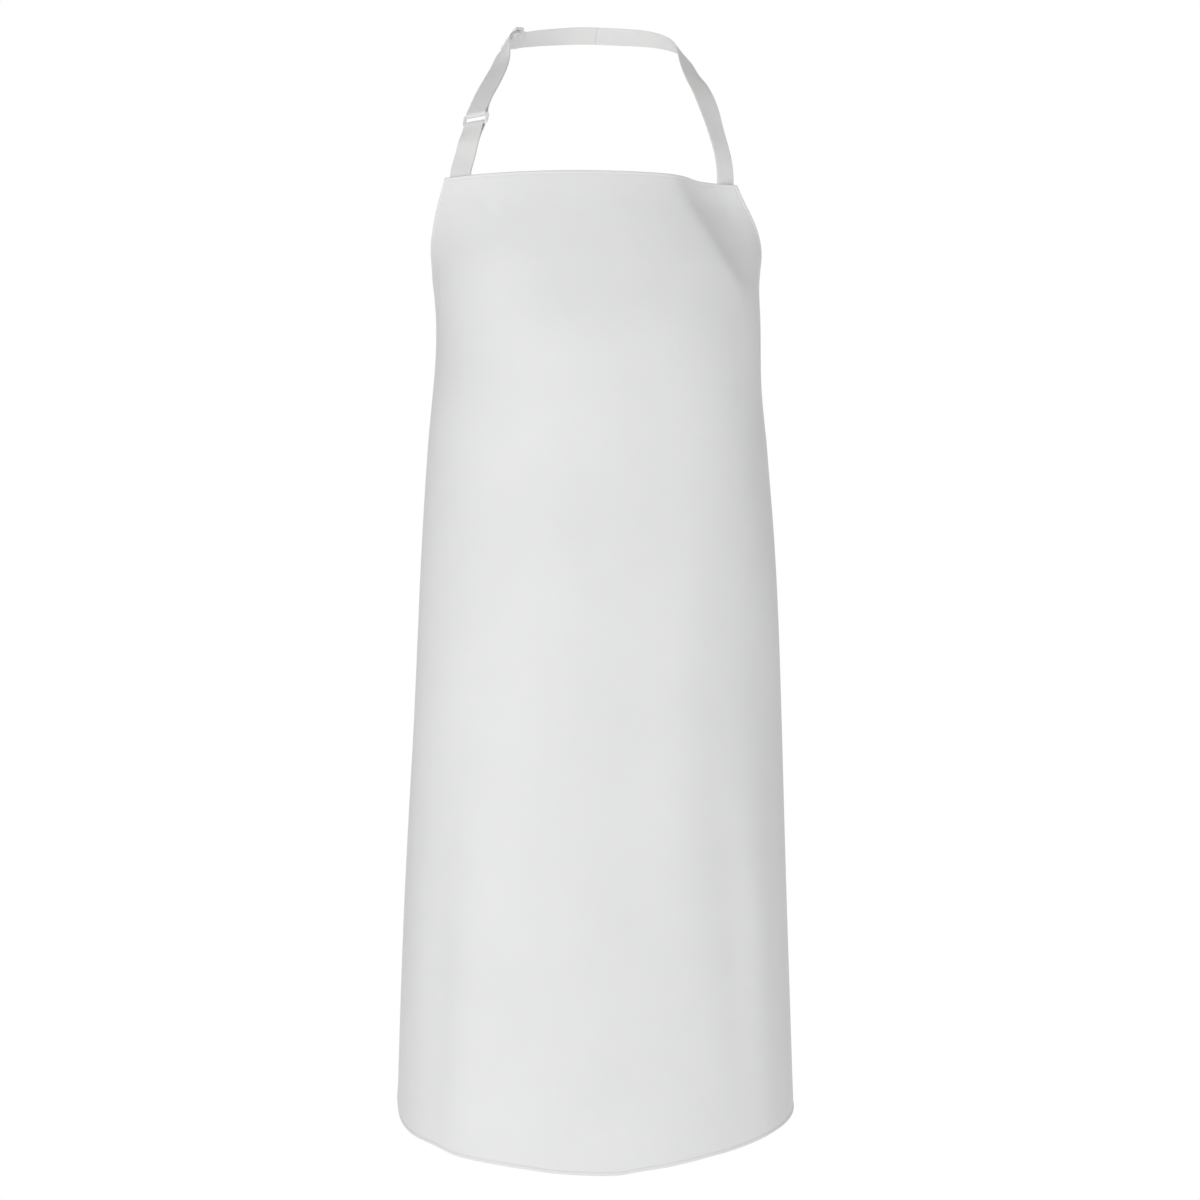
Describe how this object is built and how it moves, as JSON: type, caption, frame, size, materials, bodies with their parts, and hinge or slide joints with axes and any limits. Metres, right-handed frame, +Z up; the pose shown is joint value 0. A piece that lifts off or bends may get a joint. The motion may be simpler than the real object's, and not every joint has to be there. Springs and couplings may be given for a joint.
{
  "type": "butcher apron",
  "caption": "Long white bib apron in worn shape, with a webbing neck loop adjusted by a plastic ring and slider and webbing waist ties knotted in a bow behind.",
  "frame": {"origin": "inner face of the neck strap at the nape", "axes": "+Z up, the apron's front faces -Y, +X towards the wearer's left hand"},
  "size_m": [0.4375, 0.3271, 1.2519],
  "materials": {
    "coated_cloth": "satin, smooth coated",
    "neck_webbing": "woven twill webbing",
    "tie_webbing": "woven twill webbing",
    "white_plastic": "semi-gloss, slightly translucent",
    "thread": "polyester sewing thread"
  },
  "bodies": {
    "apron": {"apron_panel": "coated_cloth", "hem_top": "coated_cloth", "hem_bottom": "coated_cloth", "hem_armhole_left": "coated_cloth", "hem_armhole_right": "coated_cloth", "hem_side_left": "coated_cloth", "hem_side_right": "coated_cloth", "neck_strap": "neck_webbing", "strap_return": "neck_webbing", "ring_tab": "neck_webbing", "waist_tie_left": "tie_webbing", "waist_tie_right": "tie_webbing", "bow_knot": "tie_webbing", "bow_loop_left": "tie_webbing", "bow_loop_right": "tie_webbing", "tie_tail_left": "tie_webbing", "tie_tail_right": "tie_webbing", "bib_stitch_left": "thread", "bib_stitch_right": "thread", "tie_stitch_left": "thread", "tie_stitch_right": "thread", "ring_tab_stitch": "thread", "strap_end_stitch": "thread"},
    "slider": {"strap_slider": "white_plastic"},
    "ring": {"strap_ring": "white_plastic"}
  },
  "joints": [
    {"name": "slider_slide", "type": "slide", "parent": "apron", "child": "slider", "axis": [-0.4934, -0.8563, -0.153], "range_m": [-0.01, 0.012], "deforming": ["neck_strap", "strap_return"]},
    {"name": "ring_tilt", "type": "hinge", "parent": "apron", "child": "ring", "pos_m": [-0.13866, -0.12679, -0.12021], "axis": [-0.7829, 0.6174, -0.0763], "range_deg": [-12, 12], "deforming": ["neck_strap", "strap_return"]}
  ]
}
